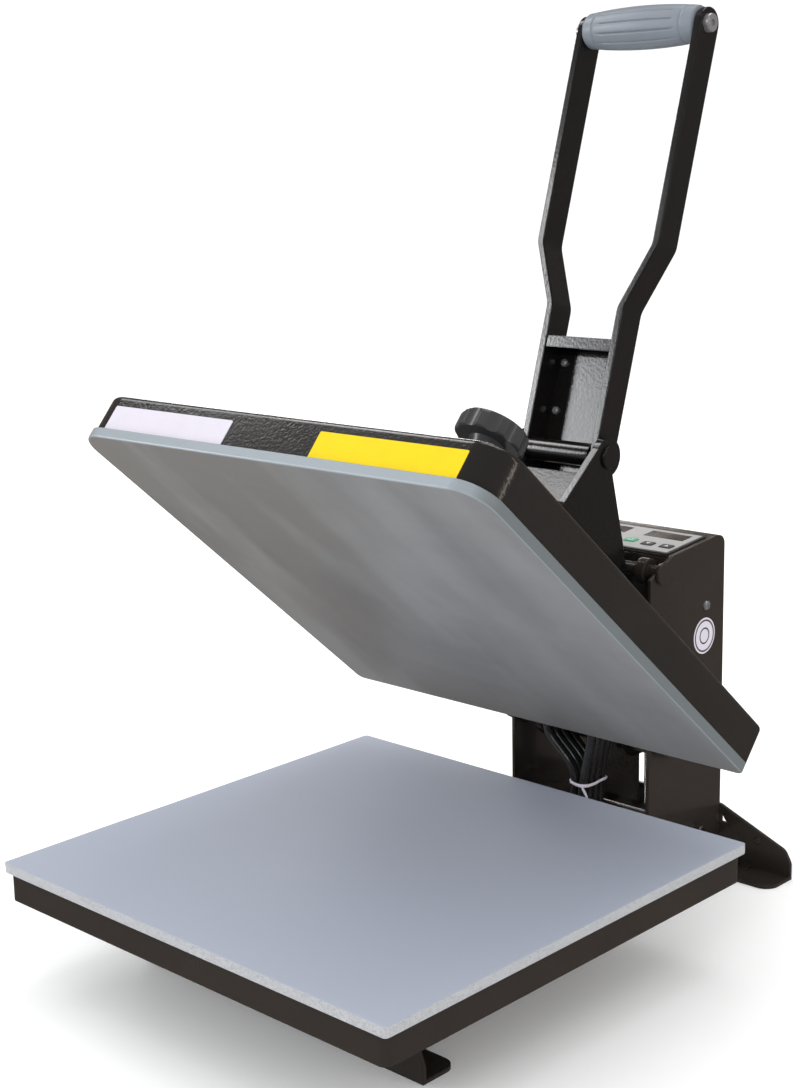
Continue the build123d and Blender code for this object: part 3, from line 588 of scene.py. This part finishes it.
MATERIALS = {
    "black_gloss": painted("black_gloss", (0.016, 0.0145, 0.0135), 0.2, 0.00012, 0.0012),
    # black_frame's base colour is lifted to a warm brown: a painted reflection of a brown room on the
    # black paint.
    "black_frame": painted("black_frame", (0.0265, 0.0218, 0.0186), 0.22, 0.00006, 0.0011),
    "plate_aluminium": coated_plate(),
    "silicone": silicone(),
    "steel_shaft": metal("steel_shaft", (0.42, 0.42, 0.43), 0.25, grain=(0.05, 1, 1)),
    "zinc": metal("zinc", (0.62, 0.62, 0.64), 0.22, bare=0.8),
    "spring_steel": metal("spring_steel", (0.6, 0.62, 0.66), 0.2),
    "grip_plastic": moulded("grip_plastic", (0.2, 0.225, 0.26), 0.42, coat=0.1),
    "black_plastic": moulded("black_plastic", (0.05, 0.051, 0.054), 0.34, coat=0.5),
    "membrane_grey": membrane(),
    "key_green": moulded("key_green", (0.05, 0.42, 0.22), 0.3),
    "key_dark": moulded("key_dark", (0.035, 0.035, 0.04), 0.35),
    "display_lens": moulded("display_lens", (0.012, 0.006, 0.006), 0.08, grain=0.0, coat=0.6),
    "board_green": board(),
    "core_steel": metal("core_steel", (0.2, 0.2, 0.2), 0.5, grain=(1, 1, 0.05)),
    "insulation": felt("insulation", (0.75, 0.72, 0.64)),
    "label_white": sticker("label_white", (0.66, 0.625, 0.70)),
    "label_yellow": sticker("label_yellow", (0.80, 0.59, 0.0)),
    "cord_black": cord_sheath("cord_black", (0.012, 0.012, 0.013), 0.25),
}
PRINT = moulded("print_pale", (0.75, 0.75, 0.74), 0.4, grain=0.0, edge=0.0001)
LEAD = braid("lead_sleeve", (0.12, 0.115, 0.11))
# deep_black is the frame's black paint again, as a darker copy without black_frame's painted warm
# reflection, for the handle, arm, screw block and toggle.
DEEP_BLACK = painted("deep_black", (0.0075, 0.007, 0.007), 0.18, 0.00006, 0.0011, dust=0.04)
DEEP_BLACK_NODES = ("handle_", "arm_", "screw_block", "toggle_")

for name, obj in NODES.items():
    obj.data.materials.clear()
    deep = name.startswith(DEEP_BLACK_NODES)
    obj.data.materials.append(DEEP_BLACK if deep else MATERIALS[SLOT_OF[name]])


def finish_piece(obj, slot_name, material=None):
    """Give a new piece its slot's material, or a finer one."""
    obj.data.materials.clear()
    obj.data.materials.append(material or MATERIALS[slot_name])
    return obj


finish_piece(cord, "cord_black")
finish_piece(tie, "label_white")


# ---- silicone pad ---------------------------------------------------------------------
PAD_CORNER = 0.003
PAD_ROUND = 0.0015        # from the pad's side to where its top is flat
SIDE_STEPS = 90
CORNER_STEPS = 6
CUT_STEPS = 8
TOP_STEPS = 46


def pad_outline(half):
    """Square with small round corners, about the pad's middle."""
    flat = 2 * half - 2 * PAD_CORNER
    outline = []
    for k in range(4):
        turn = Matrix.Rotation(k * math.pi / 2, 2)
        for j in range(SIDE_STEPS):
            outline.append(turn @ Vector((half, -half + PAD_CORNER + flat * j / SIDE_STEPS)))
        for j in range(CORNER_STEPS):
            a = math.radians(90 * j / CORNER_STEPS)
            outline.append(turn @ (Vector((half - PAD_CORNER, half - PAD_CORNER))
                                   + PAD_CORNER * Vector((math.cos(a), math.sin(a)))))
    return outline


def pad_rings(low_z, high_z, half):
    """Scale, height and kind of each ring, from the underside to the middle of the top.

    The first inset is wider than the half, so that ring lies turned round and the underside
    overlaps itself.  It rests on the tray, out of sight."""
    rings = [(1 - inset / half, low_z + rise, "under")
             for inset, rise in ((0.30, 0.0), (0.004, 0.0), (0.0004, 0.0002))]
    for k in range(1, CUT_STEPS):
        rings.append((1.0, low_z + 0.0002 + (high_z - low_z - 0.0010) * k / CUT_STEPS, "cut"))
    rings.append((1 - 0.0002 / half, high_z - 0.0005, "edge"))
    rings.append((1 - 0.0006 / half, high_z - 0.0001, "skin"))
    for k in range(TOP_STEPS):
        rings.append(((1 - PAD_ROUND / half) * (1 - k / TOP_STEPS), high_z, "skin"))
    return rings


def make_pad():
    """Foam sheet with a slightly uneven skin and ragged cut edges."""
    low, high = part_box("silicone_pad")
    half = (high.x - low.x) / 2
    centre = Vector(((low.x + high.x) / 2, (low.y + high.y) / 2, 0))
    outline = pad_outline(half)
    skin = []
    for scale, z, kind in pad_rings(low.z, high.z, half):
        ring = []
        for p in outline:
            point = Vector((p.x * scale, p.y * scale, z))
            if kind == "cut":
                rough = noise.noise(point * 900) * 0.00022 + noise.noise(point * 260) * 0.00018
                point.xy *= 1 - (0.0003 + rough) / half
            elif kind == "skin":
                point.z += noise.noise(point * 14) * 0.00018 - 0.0002
            ring.append(point + centre)
        skin.append(ring)
    build = Build()
    build.ring_skin(skin)
    made = build.make("foam_pad")
    made.data.set_sharp_from_angle(angle=math.radians(50))
    return made


pad = finish_piece(make_pad(), "silicone")
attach(pad, "base")
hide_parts("silicone_pad")


# ---- grip -----------------------------------------------------------------------------
GRIP_R = 0.0166           # at the middle
GRIP_TAPER = 0.0031       # less at each end
GRIP_BORE = 0.0045
END_ROUND = 0.0015
GRIP_STEPS = 150
GRIP_SIDES = 168
RING_GROOVE = (0.0405, 0.0007, 0.0006)    # from the middle, depth, half width
FLUTE_END = 0.0375
FLUTE_FADE = 0.006
FLUTE_DEPTH = 0.0011
FLUTES = 12
FLUTE_WIDTH = 0.22


def grip_stations(half):
    """Places along the grip, each with its radius before any groove."""
    flat_end = half - END_ROUND
    losses = [(half, 0.0012), (half - 0.0004, 0.0004), (flat_end, 0.0)]
    losses += [(-flat_end + 2 * flat_end * k / GRIP_STEPS, 0.0) for k in range(GRIP_STEPS - 1, 0, -1)]
    losses += [(-x, loss) for x, loss in losses[2::-1]]
    barrel = [(x, GRIP_R - GRIP_TAPER * (x / half) ** 2 - loss) for x, loss in losses]
    return [(-half, GRIP_BORE)] + barrel[::-1] + [(half, GRIP_BORE)]


def make_grip():
    """Barrel sleeve with long shallow grooves between two ring grooves."""
    low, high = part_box("grip")
    centre = (low + high) / 2
    groove_x, groove_depth, groove_width = RING_GROOVE
    rings = []
    for x, radius in grip_stations(high.x - centre.x):
        for ring_x in (-groove_x, groove_x):
            radius -= groove_depth * math.exp(-((x - ring_x) / groove_width) ** 2)
        depth = FLUTE_DEPTH * min(1.0, max(0.0, (FLUTE_END - abs(x)) / FLUTE_FADE))
        ring = []
        for t in round_angles(GRIP_SIDES):
            r = radius - depth * math.exp(-((math.sin(t * FLUTES / 2) / FLUTE_WIDTH) ** 2))
            ring.append((x, centre.y + r * math.cos(t + 0.2), centre.z + r * math.sin(t + 0.2)))
        rings.append(ring)
    build = Build()
    build.ring_skin(rings)
    made = build.make("fluted_grip")
    made.data.set_sharp_from_angle(angle=math.radians(60))
    return made


grip = finish_piece(make_grip(), "grip_plastic")
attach(grip, "grip")
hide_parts("grip")


# ---- lift springs -----------------------------------------------------------------------
SPRING_X = 0.028
SPRING_WIRE_R = 0.0009
COIL_R = 0.0070
COIL_START_R = 0.003
COIL_TURNS = 24
TURN_POINTS = 14
HOOK_STEPS = 16
HOOK_GAP = 0.0003
NECK = 0.006              # from each hook to the coil


def spring_hook(centre, along, front, reach, first, way):
    """Open ring round a rod or pin, from the first angle on, stepped sideways past itself."""
    points = []
    for k in range(HOOK_STEPS + 1):
        share = k / HOOK_STEPS
        a = math.radians(first + 300 * share)
        points.append(centre + reach * (-math.sin(a) * front - way * math.cos(a) * along)
                      + RIGHT * (SPRING_WIRE_R * 1.2 * way * (share - 0.5)))
    return points


def spring_path(x, rod, pin, bar):
    """Line of one extension spring: hook round the rod, slightly open coil, hook round the pin."""
    along = (pin - rod).normalized()
    front = along.cross(RIGHT).normalized()
    reach = bar + SPRING_WIRE_R + HOOK_GAP
    origin = rod + RIGHT * x
    length = (pin - rod).length
    bottom = reach + NECK
    coil = length - 2 * bottom
    count = COIL_TURNS * TURN_POINTS
    points = spring_hook(origin, along, front, reach, -60, 1)
    for k in range(count + 1):
        a = 2 * math.pi * k / TURN_POINTS
        grow = min(1, 2 * k / TURN_POINTS, 2 * (count - k) / TURN_POINTS)
        radius = COIL_START_R + (COIL_R - COIL_START_R) * grow
        points.append(origin + along * (bottom + coil * k / count)
                      + radius * (math.cos(a) * front + math.sin(a) * RIGHT))
    return points + spring_hook(origin + along * length, along, front, reach, -240, -1)


def make_springs():
    """Both lift springs, with the middles of the rod and the pin that they join."""
    rod_low, rod_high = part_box("spring_rod")
    pin_low, pin_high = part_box("spring_pin")
    rod = (rod_low + rod_high) / 2
    pin = (pin_low + pin_high) / 2
    rod.x = pin.x = 0
    bar = (rod_high.z - rod_low.z) / 2
    build = Build()
    for x in (-SPRING_X, SPRING_X):
        build.tube(spring_path(x, rod, pin, bar), SPRING_WIRE_R, 8)
    return build.make("coil_springs"), rod, pin


springs, rod, pin = make_springs()
finish_piece(springs, "spring_steel")
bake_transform(springs)
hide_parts("lift_springs")


# ---- heater lead ------------------------------------------------------------------------
LEAD_R = 3.1
LEAD_ROUTE = [(0, 275, 192), (0, 250, 191), (0, 236, 200), (0, 234.7, 214.7), (0, 212.3, 210.3),
              (0, 197.9, 193.7)]
LEAD_SPLIT_Y = 0.150      # metres, in the model's frame


def make_lead():
    """Sleeved heater lead with a slack bend, in two halves, one nearer the box and one nearer the
    platen, that meet end to end.
    """
    line = line_of(rear_frame(LEAD_ROUTE))
    half = next(i for i, point in enumerate(line) if point.y < LEAD_SPLIT_Y)
    pieces = []
    for name, part in (("heater_lead_sleeve", line[:half + 1]), ("heater_lead_end", line[half:])):
        build = Build()
        build.tube(part, LEAD_R * MM, 14)
        pieces.append(finish_piece(build.make(name), "cord_black", LEAD))
    return pieces


lead, lead_end = make_lead()
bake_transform(lead)
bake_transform(lead_end)
for piece in (lead, lead_end):
    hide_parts("heater_lead")


# ---- stickers and prints ------------------------------------------------------------------
SEAL_PLACE = (0.2365, 0.199)      # (Y, Z) on the right wall
SEAL_LIFT = 0.00005
SEAL_R = 0.0147
SEAL_THICK = 0.00025
SEAL_RINGS = ((0.0132, 0.0119), (0.0068, 0.0056))     # outer and inner radii
PRINT_LIFT = 0.00026      # above the wall side of the seal
PRINT_THICK = 0.00005
LID_SLOPE = math.atan2(6.5, 72)   # the control box's lid rises to the rear
KEY_MARK_SINK = 0.00035
KEY_MARK_THICK = 0.0001
KEY_RING = (0.0024, 0.0018)       # outer and inner radii
KEY_ARROW = (0.0021, 0.0013, 0.0019)      # half width, middle to base, middle to tip


def disc(build, centre, normal, radius, thick, inner=0.0, sides=64):
    """Flat disc or ring that stands proud of its centre by thick."""
    side = normal.orthogonal().normalized()
    other = normal.cross(side)
    bore = max(inner, 1e-5)
    profile = [(bore, 0), (radius, 0), (radius, thick * 0.7), (radius - thick, thick), (bore, thick)]
    rings = []
    for r, h in profile:
        rings.append([centre + normal * h + r * (math.cos(t) * side + math.sin(t) * other)
                      for t in round_angles(sides)])
    build.ring_skin(rings, closed=inner > 0, caps=inner <= 0)


def make_round_sticker():
    """Round sticker on the right wall, with two plain printed rings."""
    wall_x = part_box("column_wall_right")[1].x
    centre = Vector((wall_x + SEAL_LIFT, *SEAL_PLACE))
    seal = Build()
    disc(seal, centre, RIGHT, SEAL_R, SEAL_THICK)
    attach(finish_piece(seal.make("round_sticker", False), "label_white"), "base")
    rings = Build()
    for outer, inner in SEAL_RINGS:
        disc(rings, centre + RIGHT * PRINT_LIFT, RIGHT, outer, PRINT_THICK, inner=inner)
    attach(finish_piece(rings.make("round_sticker_ring", False), "key_dark"), "base")


def key_mark(key, kind):
    """Raised mark printed on a key: a ring, or a triangle that points up or down."""
    low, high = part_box(key)
    top = Vector((0, -math.sin(LID_SLOPE), math.cos(LID_SLOPE)))
    away = Vector((0, math.cos(LID_SLOPE), math.sin(LID_SLOPE)))
    middle = (low + high) / 2
    centre = middle + top * ((high - middle).z - KEY_MARK_SINK)
    build = Build()
    if kind == "ring":
        outer, inner = KEY_RING
        disc(build, centre, top, outer, KEY_MARK_THICK, inner=inner, sides=40)
    else:
        way = 1 if kind == "up" else -1
        wide, foot, tip = KEY_ARROW
        corners = [(-wide, -foot * way), (wide, -foot * way), (0, tip * way)]
        outline = [centre + RIGHT * x + away * y for x, y in corners[::way]]
        build.ring_skin([outline, [p + top * KEY_MARK_THICK for p in outline]])
    mark = finish_piece(build.make(key + "_mark", False), "label_white", PRINT)
    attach(mark, key)


make_round_sticker()
key_mark("key_heat", "ring")
key_mark("key_down", "down")
key_mark("key_up", "up")


# ---- floor and light --------------------------------------------------------------------
FLOOR_HALF = 80
LIGHT_AIM = (0, 0, 0.3)
COOL = (0.94, 0.97, 1.0)
WARM = (1.0, 0.88, 0.78)
WHITE = (1, 1, 1)
DIM_ROOM = (0.115, 0.100, 0.091)


def make_floor():
    """White floor that glossy surfaces don't see, a little self-lit so that it has no horizon."""
    corners = [(x * FLOOR_HALF, y * FLOOR_HALF, 0) for x, y in ((-1, -1), (1, -1), (1, 1), (-1, 1))]
    floor = new_mesh("floor", corners, [(0, 1, 2, 3)])
    pale = Paint("floor", (0.97, 0.97, 0.97), 0.8, specular=0.1)
    pale.set("Emission Color", (*WHITE, 1))
    pale.set("Emission Strength", 0.09)
    floor.data.materials.append(pale.material)
    floor.visible_glossy = False


def softbox(name, place, size, power, colour=WHITE, gleam_only=False):
    """Rectangular light aimed at the press; gleam_only gives highlights and no other light."""
    data = bpy.data.lights.new(name, "AREA")
    data.shape = "RECTANGLE"
    data.size, data.size_y = size
    data.energy = power
    data.color = colour
    obj = bpy.data.objects.new(name, data)
    obj.location = place
    obj.rotation_mode = "QUATERNION"
    obj.rotation_quaternion = (Vector(LIGHT_AIM) - Vector(place)).to_track_quat("-Z", "Y")
    obj.visible_diffuse = not gleam_only
    bpy.context.scene.collection.objects.link(obj)


def make_studio():
    """Even white light all round, which glossy surfaces see as a dim room round the softboxes."""
    world = bpy.data.worlds.new("studio")
    world.use_nodes = True
    tree = world.node_tree
    glossy = tree.nodes.new("ShaderNodeLightPath").outputs["Is Glossy Ray"]
    room = tree.nodes.new("ShaderNodeMix")
    room.data_type = "RGBA"
    room.inputs[6].default_value = (*WHITE, 1)
    room.inputs[7].default_value = (*DIM_ROOM, 1)
    tree.links.new(glossy, room.inputs[0])
    tree.links.new(room.outputs[2], tree.nodes["Background"].inputs["Color"])
    tree.nodes["Background"].inputs["Strength"].default_value = 1.05
    bpy.context.scene.world = world
    bpy.context.scene.view_settings.view_transform = "Standard"


make_floor()
make_studio()
softbox("top_light", (-0.2, 0.9, 2.6), (1.6, 1.6), 14)
softbox("key_light", (-2.5, -2.35, 1.2), (1.1, 1.1), 23, COOL)
softbox("side_light", (2.6, 0.9, 1.2), (0.25, 1.6), 4.5, WARM)
softbox("front_light", (1.0, -2.4, 1.6), (0.6, 0.6), 7, (0.95, 0.98, 1.0))
softbox("left_light", (-1.75, -0.3, 2.1), (0.7, 0.8), 6, (0.97, 0.98, 1.0))
softbox("rear_light", (-1.9, 1.8, 0.75), (0.8, 0.6), 6)
softbox("gleam_left", (-2.5, -2.2, 1.65), (0.5, 1.0), 14, gleam_only=True)
softbox("gleam_high", (-1.6, 0.05, 2.35), (0.6, 0.5), 4.5, gleam_only=True)
softbox("gleam_rear", (-2.3, 2.5, 1.0), (1.2, 0.8), 6, (1.0, 0.93, 0.86), gleam_only=True)
